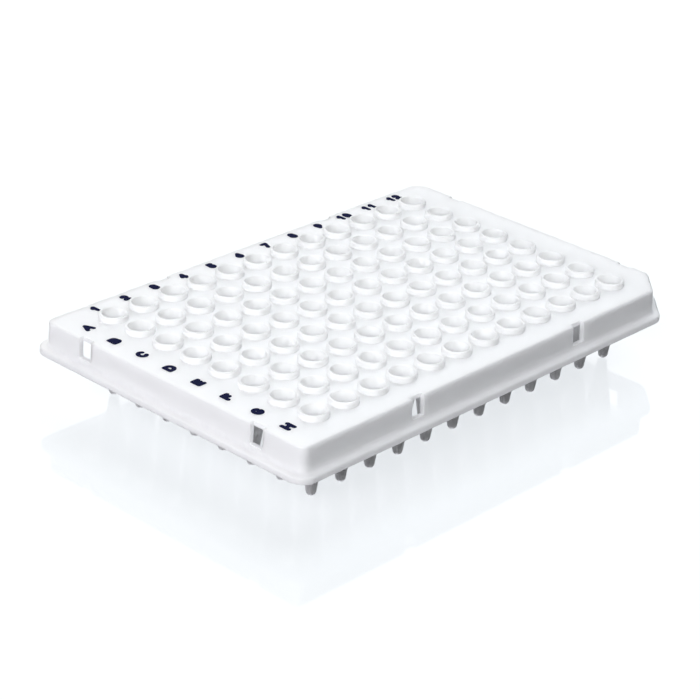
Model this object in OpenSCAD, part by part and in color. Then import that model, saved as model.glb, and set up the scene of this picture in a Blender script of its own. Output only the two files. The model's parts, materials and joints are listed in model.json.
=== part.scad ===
// 96-well PCR plate, semi-skirted, moulded in one piece.
// The origin is on the ground under the middle of the plate: it stands on its tube tips.
// Columns 1 to 12 run along +X, rows A to H run along -Y, and corner H12 is cut off.

/* [Well grid] */
// Number of wells along the plate
columns = 12; // [2:1:13]
// Number of wells across the plate
rows = 8; // [2:1:8]
// Distance between neighbouring wells, both ways
pitch = 9; // [8:0.1:9.8]

/* [Tubes] */
// Height from the ground to the top of the rims
total_h = 20.5; // [18:0.1:30]
// Radius of the ball that ends a tube
tip_r = 1.15; // [0.8:0.05:1.4]
// Slope of the cone, from the axis to its wall, in degrees
cone_angle = 8.75; // [7:0.25:10]
// Outer diameter of a tube under the deck
tube_d = 6.2; // [6:0.05:6.6]
// Thickness of a tube's wall
tube_wall = 0.4; // [0.3:0.05:0.6]

/* [Rims] */
// Outer diameter of a rim
rim_d = 6.9; // [6.8:0.05:7.6]
// Height of a rim over the deck
rim_h = 1.4; // [0.6:0.05:1.6]
// Diameter of the straight mouth that takes a cap
mouth_d = 5.4; // [5:0.05:5.5]
// Depth of the straight mouth
mouth_h = 2.5; // [1.5:0.1:4]
// Rounding of the rim's outer edge
rim_round = 0.4; // [0.2:0.05:0.45]
// Rounding of the rim's inner edge
lip_round = 0.25; // [0.1:0.05:0.3]

/* [Deck and skirt] */
// Length of the footprint, over the flange
footprint_l = 127.76; // [126:0.02:140]
// Width of the footprint, over the flange
footprint_w = 85.48; // [84:0.02:100]
// How far the flange stands out from the deck's edge
flange_out = 2.15; // [1.5:0.05:3]
// Thickness of the flange
flange_t = 1.75; // [1:0.05:2.5]
// Height of the skirt, from the flange's underside to the deck's top
skirt_h = 7.8; // [6.5:0.1:12]
// Thickness of the deck
deck_t = 1; // [0.8:0.05:1.5]
// Thickness of the skirt's wall
skirt_wall = 1.1; // [0.8:0.05:1.4]
// How far the skirt's wall leans out, from the deck down to the flange
skirt_draft = 0.2; // [0:0.05:0.4]
// Rounding of the deck's and the flange's outer edges
edge_round = 0.45; // [0.2:0.05:0.5]
// Fillet between the skirt's wall and the flange
foot_fillet = 0.8; // [0.4:0.05:1.1]
// Radius of the deck's two corners at column 1
corner_r = 2; // [1.6:0.1:5]
// Radius of the deck's corner at well A12
far_corner_r = 4; // [1.6:0.1:6]
// Length that the cut takes off each side at well H12
corner_cut = 7.1; // [4:0.1:9]
// Radius of the two bends beside the cut
cut_bend_r = 1.7; // [1.6:0.1:3]

/* [Slots] */
// Width of a slot through the skirt
slot_w = 3.8; // [2:0.1:5]
// Height of the wall left under a slot, over the flange
slot_sill = 1.15; // [1.15:0.05:3]
// Distance from the plate's middle to a slot, on every side
slot_at = 27; // [18:0.5:30]

/* [Hidden] */
$fn = 48;
// How far a cut runs past what it cuts, and how far joined solids reach into each other
over = 1;
lap = 0.2;
deck_l = footprint_l - 2 * flange_out;
deck_w = footprint_w - 2 * flange_out;
deck_z = total_h - rim_h;
flange_z = deck_z - skirt_h;
flange_top = flange_z + flange_t;

// Outline of the deck: its vertices run anticlockwise from corner H1, and each has a radius and
// the heading in which the outline leaves it.
deck_corners = let (x = deck_l / 2, y = deck_w / 2, c = corner_cut)
    [[-x, -y], [x - c, -y], [x, c - y], [x, y], [-x, y]];
corner_radii = [corner_r, cut_bend_r, cut_bend_r, far_corner_r, corner_r];
headings = [0, 45, 90, 180, 270];

function before(i) = (i + 4) % 5;
function after(i) = (i + 1) % 5;
function turn(i) = (headings[i] - headings[before(i)] + 360) % 360;
function setback(i) = corner_radii[i] * tan(turn(i) / 2);

// Straight run of the outline from corner i to the next
function run(i) = norm(deck_corners[after(i)] - deck_corners[i]) - setback(i) - setback(after(i));

// Moves to the micrometre first and then by what is left, so that no digit is rounded off
module shift(v) {
    micron = 0.001;
    coarse = micron * [for (a = v) round(a / micron)];
    translate(coarse) translate(v - coarse) children();
}

// Carries a section round the outline: its x = 0 follows the deck's edge and +x points outwards.
// Each corner is a bend with two straight arms, and neighbours' arms overlap half way.
module round_the_deck() {
    for (i = [0:4]) shift(deck_corners[i]) {
        rotate(headings[before(i)]) shift([-setback(i), 0]) {
            shift([0, corner_radii[i]]) rotate(-90)
                rotate_extrude(angle = turn(i)) shift([corner_radii[i], 0]) children();
            rotate([90, 0, -90]) linear_extrude(run(before(i)) / 2 + lap) children();
        }
        rotate(headings[i]) shift([setback(i), 0]) rotate([90, 0, 90])
            linear_extrude(run(i) / 2 + lap) mirror([1, 0]) children();
    }
}

// Sheet of the deck. It ends inside the skirt's wall, so that its corners may be facets.
module sheet() {
    inset = skirt_wall - lap;
    facets = 4;
    polygon([for (i = [0:4], k = [0:facets])
        let (before = headings[before(i)], heading = before - 90 + turn(i) * k / facets)
        deck_corners[i] - setback(i) * [cos(before), sin(before)]
        + corner_radii[i] * [-sin(before), cos(before)]
        + (corner_radii[i] - inset) * [cos(heading), sin(heading)]]);
}

// Where the skirt's outer face is at height z, and its lean
function face_x(z) = skirt_draft * (deck_z - z) / (deck_z - flange_top);
lean = atan2(skirt_draft, deck_z - flange_top);

// Takes the sharp corner off an outer edge: the arc's centre, the edge and its two tangent points
module rounded_off(centre, edge, first, last) {
    difference() {
        children();
        difference() {
            polygon([centre, first, edge + first - centre, 2 * edge - centre,
                edge + last - centre, last]);
            translate(centre) circle(norm(first - centre));
        }
    }
}

// Section of the skirt: a wall that leans out to a flange
module skirt_section() {
    e = edge_round;
    top = [face_x(deck_z - e * (1 - sin(lean))) - e * cos(lean), deck_z - e];
    union() {
        rounded_off(top, [0, deck_z], top + [0, e], top + e * [cos(lean), sin(lean)])
        rounded_off([flange_out - e, flange_top - e], [flange_out, flange_top],
            [flange_out - e, flange_top], [flange_out, flange_top - e])
        rounded_off([flange_out - e, flange_z + e], [flange_out, flange_z],
            [flange_out, flange_z + e], [flange_out - e, flange_z])
            polygon([[-skirt_wall, deck_z], [0, deck_z], [skirt_draft, flange_top],
                [flange_out, flange_top], [flange_out, flange_z],
                [skirt_draft - skirt_wall, flange_z], [-skirt_wall, deck_z - deck_t]]);
        foot();
    }
}

// Fillet between the skirt's outer face and the flange, which reaches into both
module foot() {
    f = foot_fillet;
    centre = [face_x(flange_top + f * (1 - sin(lean))) + f * cos(lean), flange_top + f];
    difference() {
        polygon([[skirt_draft - lap, flange_top - lap], [centre.x, flange_top - lap], centre,
            centre - (f + lap) * [cos(lean), sin(lean)]]);
        translate(centre) circle(f);
    }
}

// Slots through the skirt and the deck's edge, two on each side
module slots() {
    depth = flange_out + skirt_wall;
    sill_z = flange_top + slot_sill;
    for (across = [0, 1], side = [-1, 1], at = [-1, 1])
        rotate(across * 90)
            translate([at * slot_at - slot_w / 2,
                side * (across ? footprint_l : footprint_w) / 2 - (side > 0 ? depth : 0),
                sill_z])
                cube([slot_w, depth, deck_z - sill_z + over]);
}

function column_x(c) = (c - (columns - 1) / 2) * pitch;
function row_y(r) = ((rows - 1) / 2 - r) * pitch;
module at_each_well() {
    for (c = [0:columns - 1], r = [0:rows - 1]) translate([column_x(c), row_y(r)]) children();
}

tube_r = tube_d / 2;
rim_r = rim_d / 2;
mouth_r = mouth_d / 2;
bore_tip_r = tip_r - tube_wall;
bore_r = tube_r - tube_wall / cos(cone_angle);

// Height at which a cone that starts on a ball at height ball_z reaches radius r
function cone_height(ball_r, ball_z, r) =
    ball_z + (r - ball_r / cos(cone_angle)) / tan(cone_angle);

// Half section of a cone on a ball, up to where the cone reaches radius r
module ball_and_cone(ball_r, r) {
    belt = [ball_r * cos(cone_angle), tip_r - ball_r * sin(cone_angle)];
    intersection() {
        translate([0, tip_r]) circle(ball_r);
        square([ball_r + over, belt.y]);
    }
    polygon([[0, belt.y], belt, [r, cone_height(ball_r, tip_r, r)],
        [0, cone_height(ball_r, tip_r, r)]]);
}

// Half section of a well's outside: ball, cone, straight tube and rim
module well_outside() {
    ball_and_cone(tip_r, tube_r);
    shoulder = cone_height(tip_r, tip_r, tube_r);
    collar_z = deck_z - lap;
    e = rim_round;
    rounded_off([rim_r - e, total_h - e], [rim_r, total_h], [rim_r - e, total_h],
        [rim_r, total_h - e])
        polygon([[0, shoulder], [tube_r, shoulder], [tube_r, collar_z], [rim_r, collar_z],
            [rim_r, total_h], [0, total_h]]);
}

// Half section of a well's bore: ball, cone, and a straight mouth with a rounded lip
module well_bore() {
    ball_and_cone(bore_tip_r, bore_r);
    mouth_z = total_h - mouth_h;
    e = lip_round;
    polygon([[0, cone_height(bore_tip_r, tip_r, bore_r)],
        [bore_r, cone_height(bore_tip_r, tip_r, bore_r)], [mouth_r, mouth_z],
        [mouth_r, total_h - e], [mouth_r + e, total_h - e], [mouth_r + e, total_h + over],
        [0, total_h + over]]);
}

module well() {
    rotate_extrude() difference() {
        well_outside();
        difference() {
            well_bore();
            translate([mouth_r + lip_round, total_h - lip_round]) circle(lip_round);
        }
    }
}

module deck() {
    translate([0, 0, deck_z - deck_t]) linear_extrude(deck_t) difference() {
        sheet();
        at_each_well() circle((mouth_r + tube_r) / 2);
    }
}

module plate() {
    color("white") {
        difference() {
            union() {
                deck();
                round_the_deck() skirt_section();
            }
            slots();
        }
        at_each_well() well();
    }
}

plate();
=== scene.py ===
import json
import math
import bmesh
import bpy
from mathutils import Euler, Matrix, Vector
from mathutils.geometry import delaunay_2d_cdt

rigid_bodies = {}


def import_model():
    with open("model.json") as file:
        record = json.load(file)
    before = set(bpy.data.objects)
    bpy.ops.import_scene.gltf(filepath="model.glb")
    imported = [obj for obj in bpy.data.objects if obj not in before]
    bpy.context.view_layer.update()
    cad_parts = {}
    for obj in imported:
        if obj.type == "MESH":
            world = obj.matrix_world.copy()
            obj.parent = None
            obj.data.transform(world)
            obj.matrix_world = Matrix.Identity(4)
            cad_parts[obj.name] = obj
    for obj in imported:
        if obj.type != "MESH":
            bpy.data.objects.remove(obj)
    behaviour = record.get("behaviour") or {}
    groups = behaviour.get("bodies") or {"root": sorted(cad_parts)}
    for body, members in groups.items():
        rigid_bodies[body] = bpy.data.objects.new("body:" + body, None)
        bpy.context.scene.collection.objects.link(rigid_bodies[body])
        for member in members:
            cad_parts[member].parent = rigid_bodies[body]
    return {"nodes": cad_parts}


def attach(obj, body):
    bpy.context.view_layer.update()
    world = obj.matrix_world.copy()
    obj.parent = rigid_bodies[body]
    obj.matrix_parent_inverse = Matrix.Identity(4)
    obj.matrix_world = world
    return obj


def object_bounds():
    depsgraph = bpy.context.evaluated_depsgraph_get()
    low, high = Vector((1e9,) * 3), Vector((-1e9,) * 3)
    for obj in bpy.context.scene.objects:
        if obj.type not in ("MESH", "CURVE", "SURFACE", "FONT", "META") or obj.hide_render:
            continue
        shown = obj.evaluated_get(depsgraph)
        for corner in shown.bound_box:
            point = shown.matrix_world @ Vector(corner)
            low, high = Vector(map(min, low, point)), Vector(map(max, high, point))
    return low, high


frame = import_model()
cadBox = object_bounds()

low, high = cadBox
plate = frame["nodes"]["plate"]
mm = 0.001


class Wire:
    # a node socket that can be added, taken away and multiplied
    def __init__(self, bench, socket):
        self.bench = bench
        self.socket = socket

    def math(self, operation, first, second):
        return self.bench.add("ShaderNodeMath", {"operation": operation}, {0: first, 1: second})

    def __add__(self, other):
        return self.math("ADD", self, other)

    def __sub__(self, other):
        return self.math("SUBTRACT", self, other)

    def __rsub__(self, other):
        return self.math("SUBTRACT", other, self)

    def __mul__(self, other):
        return self.math("MULTIPLY", self, other)

    __radd__ = __add__
    __rmul__ = __mul__


class NodeBench:
    # builds one node tree, of a material or of geometry
    def __init__(self, tree):
        self.tree = tree

    def add(self, kind, settings=None, sockets=None, output=0):
        node = self.tree.nodes.new(kind)
        for name, value in (settings or {}).items():
            if name == "stops":
                self.setStops(node.color_ramp, value)
            else:
                setattr(node, name, value)
        for name, value in (sockets or {}).items():
            socket = node.inputs[name]
            if isinstance(value, Wire):
                self.tree.links.new(value.socket, socket)
            elif isinstance(value, list):
                for wire in value:
                    self.tree.links.new(wire.socket, socket)
            else:
                socket.default_value = value
        if not node.outputs:
            return node
        return Wire(self, node.outputs[output])

    def setStops(self, ramp, stops):
        while len(ramp.elements) < len(stops):
            ramp.elements.new(0.5)
        for element, (position, shade) in zip(ramp.elements, stops):
            element.position = position
            element.color = (shade, shade, shade, 1)

    def noise(self, coordinates, size, detail=2, roughness=0.5):
        return self.add("ShaderNodeTexNoise", {}, {
            "Vector": coordinates, "Scale": 1 / size, "Detail": detail, "Roughness": roughness})

    def mix(self, factor, first, second):
        # from the first colour to the second; sockets 6, 7 and output 2 are the Mix node's colours
        return self.add("ShaderNodeMix", {"data_type": "RGBA"}, {
            "Factor": factor, 6: (*first, 1), 7: (*second, 1)}, 2)


def newMaterial(name):
    material = bpy.data.materials.new(name)
    material.use_nodes = True
    material.node_tree.nodes.clear()
    return material, NodeBench(material.node_tree)


# white moulded plastic of the plate
plasticLook = {
    "white": (0.98, 0.98, 0.98),
    "shade": (0.974, 0.974, 0.974),
    "cloudSize": 28 * mm,      # soft unevenness of the melt
    "cloudEdges": (0.35, 0.65),
    "smudgeSize": 7 * mm,      # patches that are a little glossier or duller
    "grainSize": 0.16 * mm,    # fine spark-eroded texture of the mould
    "grainDepth": 0.004 * mm,
    "waveSize": 9 * mm,        # faint sink between the tubes
    "waveDepth": 0.02 * mm,
    "roughness": 0.42,
    "roughnessSwing": 0.12,
    "refraction": 1.49,
    "scatter": 1,              # the plastic is translucent
    "scatterReach": 4 * mm,
}


def makePlastic(look):
    material, bench = newMaterial("whitePlastic")
    place = bench.add("ShaderNodeTexCoord", {}, {}, "Object")
    cloud = bench.noise(place, look["cloudSize"], 3)
    smudge = bench.noise(place, look["smudgeSize"], 4, 0.6)
    grain = bench.noise(place, look["grainSize"], 2, 0.6)
    wave = bench.noise(place, look["waveSize"], 1)
    start, end = look["cloudEdges"]
    patches = bench.add("ShaderNodeValToRGB", {"stops": [(start, 0), (end, 1)]}, {"Fac": cloud})
    colour = bench.mix(patches, look["shade"], look["white"])
    roughness = (smudge - 0.5) * look["roughnessSwing"] * 2 + look["roughness"]
    broad = bench.add("ShaderNodeBump", {}, {"Height": wave, "Strength": 1, "Distance": look["waveDepth"]})
    fine = bench.add("ShaderNodeBump", {}, {
        "Height": grain, "Strength": 1, "Distance": look["grainDepth"], "Normal": broad})
    surface = bench.add("ShaderNodeBsdfPrincipled", {"subsurface_method": "RANDOM_WALK"}, {
        "Base Color": colour, "Roughness": roughness, "Normal": fine, "IOR": look["refraction"],
        "Subsurface Weight": look["scatter"], "Subsurface Radius": (1, 1, 1),
        "Subsurface Scale": look["scatterReach"]})
    bench.add("ShaderNodeOutputMaterial", {}, {"Surface": surface})
    return material


plastic = makePlastic(plasticLook)
for index in range(len(plate.material_slots)):
    plate.material_slots[index].material = plastic
print("plate: white plastic")


# printed marks: A to H beside the rows, 1 to 12 over the columns
marks = {
    "rows": 8,
    "columns": 12,
    "pitch": 9 * mm,
    "rimHeight": 1.4 * mm,     # of the wells' rims over the deck
    "letterLine": -57.1 * mm,  # x of the letters' middle
    "numberLine": 37.8 * mm,   # y of the numbers' middle
    "letterBox": (1.67 * mm, 1.97 * mm),   # the pen's path inside a letter, width and height
    "digitBox": (1.11 * mm, 1.81 * mm),
    "digitStep": 2.2 * mm,     # from one digit to the next in 10, 11 and 12
    "pen": 0.54 * mm,          # radius of the round pen: heavy print, with the counters nearly closed
    "snap": 0.02 * mm,         # corners nearer than this become one
    "film": 0.03 * mm,         # height of the ink over the deck
    "sunk": 0.02 * mm,         # how far the ink's underside lies in the deck
}
inkLook = {
    "colour": (0.004, 0.0055, 0.033),
    "faded": (0.007, 0.0095, 0.049),
    "blotchSize": 0.6 * mm,
    "roughness": 0.6,
    "roughnessSwing": 0.15,
    "poreSize": 0.08 * mm,
    "poreDepth": 0.004 * mm,
    "specular": 0.02,          # matt ink
}


def makeInk(look):
    material, bench = newMaterial("navyInk")
    place = bench.add("ShaderNodeTexCoord", {}, {}, "Object")
    blotch = bench.noise(place, look["blotchSize"], 3)
    pores = bench.noise(place, look["poreSize"], 2)
    colour = bench.mix(blotch, look["colour"], look["faded"])
    bump = bench.add("ShaderNodeBump", {}, {"Height": pores, "Strength": 1, "Distance": look["poreDepth"]})
    surface = bench.add("ShaderNodeBsdfPrincipled", {}, {
        "Base Color": colour, "Roughness": (blotch - 0.5) * look["roughnessSwing"] + look["roughness"],
        "Normal": bump, "Specular IOR Level": look["specular"]})
    bench.add("ShaderNodeOutputMaterial", {}, {"Surface": surface})
    return material


arcStep = 15                   # degrees between an arc's points
fewestSteps = 8
discSides = 20                 # corners of the pen's round tip
sharpBend = math.radians(25)   # a larger bend than this gets a disc
mergeGap = 1e-4                # millimetres between outline points that become one


def arc(middle, radii, start, end):
    # points along part of an ellipse, between two angles in degrees
    steps = max(fewestSteps, round(abs(end - start) / arcStep))
    angles = [math.radians(start + (end - start) * step / steps) for step in range(steps + 1)]
    return [(middle[0] + radii[0] * math.cos(a), middle[1] + radii[1] * math.sin(a)) for a in angles]


# the pen's strokes for each character, in a box one unit wide and one unit tall
strokes = {
    "A": [[(0, 0), (0.5, 1), (1, 0)], [(0.2, 0.34), (0.8, 0.34)]],
    "B": [[(0, 0), (0, 1)], [(0, 1)] + arc((0.5, 0.77), (0.36, 0.23), 90, -90) + [(0, 0.54)],
          [(0, 0.54)] + arc((0.55, 0.27), (0.45, 0.27), 90, -90) + [(0, 0)]],
    "C": [arc((0.52, 0.5), (0.52, 0.5), 48, 312)],
    "D": [[(0, 0), (0, 1)], [(0, 1)] + arc((0.4, 0.5), (0.6, 0.5), 90, -90) + [(0, 0)]],
    "E": [[(0.9, 1), (0, 1), (0, 0), (0.9, 0)], [(0, 0.5), (0.8, 0.5)]],
    "F": [[(0.9, 1), (0, 1), (0, 0)], [(0, 0.5), (0.75, 0.5)]],
    "G": [arc((0.52, 0.5), (0.52, 0.5), 50, 345), [(0.62, 0.44), (1.02, 0.44)]],
    "H": [[(0, 0), (0, 1)], [(1, 0), (1, 1)], [(0, 0.5), (1, 0.5)]],
    "0": [arc((0.5, 0.5), (0.5, 0.5), 0, 360)],
    "1": [[(0.1, 0.68), (0.6, 1), (0.6, 0)]],
    "2": [arc((0.5, 0.7), (0.46, 0.3), 170, -40) + [(0, 0)], [(0, 0), (1, 0)]],
    "3": [arc((0.48, 0.76), (0.42, 0.24), 165, -90), arc((0.48, 0.26), (0.5, 0.26), 90, -165)],
    "4": [[(0.72, 0), (0.72, 1), (0, 0.3), (1, 0.3)]],
    "5": [[(0.92, 1), (0.14, 1), (0.08, 0.52)], arc((0.46, 0.33), (0.5, 0.33), 130, -155)],
    "6": [[(0.78, 1)] + arc((0.5, 0.32), (0.5, 0.32), 155, 515)],
    "7": [[(0, 1), (1, 1), (0.35, 0)]],
    "8": [arc((0.5, 0.76), (0.4, 0.24), -90, 270), arc((0.5, 0.26), (0.5, 0.26), 90, 450)],
    "9": [[(0.22, 0)] + arc((0.5, 0.68), (0.5, 0.32), -25, 335)],
}


def penMarks(path, radius):
    # what a round pen leaves along a path: a bar for each step, and a disc at the ends and at sharp bends
    aims = [(second - first).normalized() for first, second in zip(path, path[1:])]
    shapes = []
    for index, (first, second) in enumerate(zip(path, path[1:])):
        corners = []
        for point, other in ((first, index - 1), (second, index + 1)):
            side = Vector((-aims[index].y, aims[index].x))
            smooth = 0 <= other < len(aims) and aims[index].angle(aims[other]) < sharpBend
            if smooth:
                between = (aims[index] + aims[other]).normalized()
                side = Vector((-between.y, between.x)) / between.dot(aims[index])
            else:
                turns = [math.tau * step / discSides for step in range(discSides)]
                shapes.append([point + Vector((math.cos(t), math.sin(t))) * radius for t in turns])
            corners += [point - side * radius, point + side * radius]
        shapes.append([corners[0], corners[2], corners[3], corners[1]])
    return shapes


def makeGlyphs(name, words, box):
    # a thin film for each word, centred on its own origin, in a collection of their own
    collection = bpy.data.collections.new(name)
    for index, word in enumerate(words):
        vertices, inked = [], []
        for order, character in enumerate(word):
            points, outlines = [], []
            shift = (order - (len(word) - 1) / 2) * marks["digitStep"]
            for stroke in strokes[character]:
                path = [Vector(((x - 0.5) * box[0] + shift, (y - 0.5) * box[1])) for x, y in stroke]
                for shape in penMarks(path, marks["pen"]):
                    outlines.append(list(range(len(points), len(points) + len(shape))))
                    points += shape
            # the triangles under the pen's marks, joined where the marks overlap
            cells = delaunay_2d_cdt([point / mm for point in points], [], outlines, 0, mergeGap)
            inked += [[corner + len(vertices) for corner in face]
                      for face, covers in zip(cells[2], cells[5]) if covers]
            vertices += [(x * mm, y * mm, 0) for x, y in cells[0]]
        mesh = bpy.data.meshes.new(name)
        mesh.from_pydata(vertices, [], inked)
        film = bmesh.new()
        film.from_mesh(mesh)
        bmesh.ops.remove_doubles(film, verts=film.verts, dist=marks["snap"])
        bmesh.ops.dissolve_degenerate(film, dist=marks["snap"], edges=film.edges)
        grown = bmesh.ops.extrude_face_region(film, geom=film.faces[:], use_keep_orig=True)["geom"]
        bmesh.ops.translate(film, verts=[part for part in grown if isinstance(part, bmesh.types.BMVert)],
                            vec=(0, 0, marks["sunk"] + marks["film"]))
        bmesh.ops.recalc_face_normals(film, faces=film.faces)
        film.to_mesh(mesh)
        film.free()
        collection.objects.link(bpy.data.objects.new(f"{name}{index:02d}", mesh))
    return collection


def markTree():
    # one glyph on each point of a line down the rows and a line along the columns
    tree = bpy.data.node_groups.new("printedMarks", "GeometryNodeTree")
    tree.interface.new_socket("Geometry", in_out="OUTPUT", socket_type="NodeSocketGeometry")
    for name, kind in (("Letters", "Collection"), ("Numbers", "Collection"), ("Rows", "Int"),
                       ("Columns", "Int"), ("Pitch", "Float"), ("Letter Line", "Float"),
                       ("Number Line", "Float"), ("Film Foot", "Float"), ("Ink", "Material")):
        tree.interface.new_socket(name, in_out="INPUT", socket_type="NodeSocket" + kind)
    bench = NodeBench(tree)
    inputs = bench.add("NodeGroupInput").socket.node.outputs
    given = {socket.name: Wire(bench, socket) for socket in inputs if socket.name}

    def vector(x, y, z):
        return bench.add("ShaderNodeCombineXYZ", {}, {"X": x, "Y": y, "Z": z})

    def line(glyphs, count, start, step):
        points = bench.add("GeometryNodeMeshLine", {"mode": "OFFSET"}, {
            "Count": count, "Start Location": start, "Offset": step})
        children = bench.add("GeometryNodeCollectionInfo", {}, {
            "Collection": glyphs, "Separate Children": True, "Reset Children": True})
        return bench.add("GeometryNodeInstanceOnPoints", {}, {
            "Points": points, "Instance": children, "Pick Instance": True,
            "Instance Index": bench.add("GeometryNodeInputIndex")})

    pitch = given["Pitch"]
    letters = line(given["Letters"], given["Rows"],
                   vector(given["Letter Line"], (given["Rows"] - 1) * pitch * 0.5, given["Film Foot"]),
                   vector(0.0, pitch * -1, 0.0))
    numbers = line(given["Numbers"], given["Columns"],
                   vector((given["Columns"] - 1) * pitch * -0.5, given["Number Line"], given["Film Foot"]),
                   vector(pitch, 0.0, 0.0))
    solid = bench.add("GeometryNodeRealizeInstances", {}, {
        "Geometry": bench.add("GeometryNodeJoinGeometry", {}, {"Geometry": [letters, numbers]})})
    inked = bench.add("GeometryNodeSetMaterial", {}, {"Geometry": solid, "Material": given["Ink"]})
    bench.add("NodeGroupOutput", {}, {"Geometry": inked})
    return tree


def makeMarks():
    letters = makeGlyphs("letter", "ABCDEFGH"[:marks["rows"]], marks["letterBox"])
    numbers = makeGlyphs("number", [str(n + 1) for n in range(marks["columns"])], marks["digitBox"])
    holder = bpy.data.objects.new("holder", bpy.data.meshes.new("holder"))
    bpy.context.scene.collection.objects.link(holder)
    modifier = holder.modifiers.new("printedMarks", "NODES")
    tree = markTree()
    modifier.node_group = tree
    values = {
        "Letters": letters, "Numbers": numbers, "Rows": marks["rows"], "Columns": marks["columns"],
        "Pitch": marks["pitch"], "Letter Line": marks["letterLine"], "Number Line": marks["numberLine"],
        "Film Foot": high.z - marks["rimHeight"] - marks["sunk"], "Ink": makeInk(inkLook)}
    for item in tree.interface.items_tree:
        if item.in_out == "INPUT":
            modifier[item.identifier] = values[item.name]
    bpy.context.view_layer.update()
    mesh = bpy.data.meshes.new_from_object(
        holder.evaluated_get(bpy.context.evaluated_depsgraph_get()))
    bpy.data.objects.remove(holder)
    for collection in (letters, numbers):
        for glyph in list(collection.objects):
            bpy.data.objects.remove(glyph)
        bpy.data.collections.remove(collection)
    piece = bpy.data.objects.new("gridMarks", mesh)
    bpy.context.scene.collection.objects.link(piece)
    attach(piece, "root")
    print("marks:", len(mesh.polygons), "faces")


makeMarks()


# glossy table
floorLook = {
    "size": 6.0,
    "colour": (0.25, 0.25, 0.25),
    "refraction": 1.45,
    "glowColour": (0.932, 0.971, 1.0),
    "glow": 0.72,              # the table is lit from below, so its shadows stay pale
    "roughness": 0.03,         # glossy enough to mirror the plate faintly
}


def makeFloor(look):
    half = look["size"] / 2
    mesh = bpy.data.meshes.new("floor")
    corners = [(-half, -half, low.z), (half, -half, low.z), (half, half, low.z), (-half, half, low.z)]
    mesh.from_pydata(corners, [], [(0, 1, 2, 3)])
    floor = bpy.data.objects.new("floor", mesh)
    bpy.context.scene.collection.objects.link(floor)
    floor.visible_diffuse = False   # the panels alone light the plate
    floor.visible_shadow = False    # and the one below the table shines through it
    material, bench = newMaterial("paleFloor")
    surface = bench.add("ShaderNodeBsdfPrincipled", {}, {
        "Base Color": (*look["colour"], 1), "Roughness": look["roughness"], "IOR": look["refraction"],
        "Emission Color": (*look["glowColour"], 1), "Emission Strength": look["glow"]})
    bench.add("ShaderNodeOutputMaterial", {}, {"Surface": surface})
    mesh.materials.append(material)
    print("floor: ready")


makeFloor(floorLook)


# softboxes round the table
lights = {
    # name: azimuth and height in degrees, distance and size in metres, power in watts, colour
    "leftPanel": (170, 15, 1.15, 0.45, 3.1, (0.96, 0.91, 1.0)),
    "frontLeftPanel": (195, 35, 1.15, 0.5, 5.9, (0.965, 0.98, 1.0)),
    "frontPanel": (220, 35, 1.15, 0.5, 5.3, (0.965, 0.98, 1.0)),
    "rightPanel": (0, 32, 1.15, 0.5, 2.3, (0.905, 0.87, 1.0)),
    "backPanel": (75, 32, 1.15, 0.5, 1.0, (1.0, 0.85, 0.58)),
    "highPanel": (30, 57, 1.15, 0.55, 4.6, (0.885, 0.988, 1.0)),
    "backdrop": (47, 26, 2.0, 1.3, 8.0, (1.0, 1.0, 1.0)),   # what the table mirrors around the plate
    "tablePanel": (0, -90, 0.3, 0.2, 0.58, (0.92, 0.926, 1.0)),   # the lit table's light from below
}
ambience = {"colour": (0.96, 0.97, 1.0), "strength": 0.02}


def makeLights():
    middle = (low + high) / 2
    for name, (azimuth, height, distance, size, power, colour) in lights.items():
        data = bpy.data.lights.new(name, "AREA")
        data.shape = "SQUARE"
        data.size = size
        data.energy = power
        data.color = colour
        lamp = bpy.data.objects.new(name, data)
        turn, lift = math.radians(azimuth), math.radians(height)
        aim = Vector((math.cos(lift) * math.cos(turn), math.cos(lift) * math.sin(turn), math.sin(lift)))
        lamp.location = aim * distance
        lamp.rotation_euler = (middle - lamp.location).to_track_quat("-Z", "Y").to_euler()
        bpy.context.scene.collection.objects.link(lamp)
    world = bpy.data.worlds.new("studio")
    world.use_nodes = True
    background = world.node_tree.nodes["Background"].inputs
    background["Color"].default_value = (*ambience["colour"], 1)
    background["Strength"].default_value = ambience["strength"]
    bpy.context.scene.world = world
    bpy.context.scene.view_settings.view_transform = "Standard"
    print("light:", len(lights), "panels")


makeLights()

cameraLook = {
    "place": (-383.35 * mm, -349.21 * mm, 259.95 * mm),
    "turn": (63.917, -2.249, -46.184),   # degrees
    "lens": 128.05,
    "sensor": 36,
    "reach": (0.05, 20),                 # nearest and farthest distance drawn, in metres
}


def makeCamera(look):
    data = bpy.data.cameras.new("camera")
    data.lens = look["lens"]
    data.sensor_width = look["sensor"]
    data.clip_start, data.clip_end = look["reach"]
    camera = bpy.data.objects.new("camera", data)
    camera.location = look["place"]
    camera.rotation_euler = Euler([math.radians(angle) for angle in look["turn"]])
    bpy.context.scene.collection.objects.link(camera)
    bpy.context.scene.camera = camera
    print("camera: ready")


makeCamera(cameraLook)
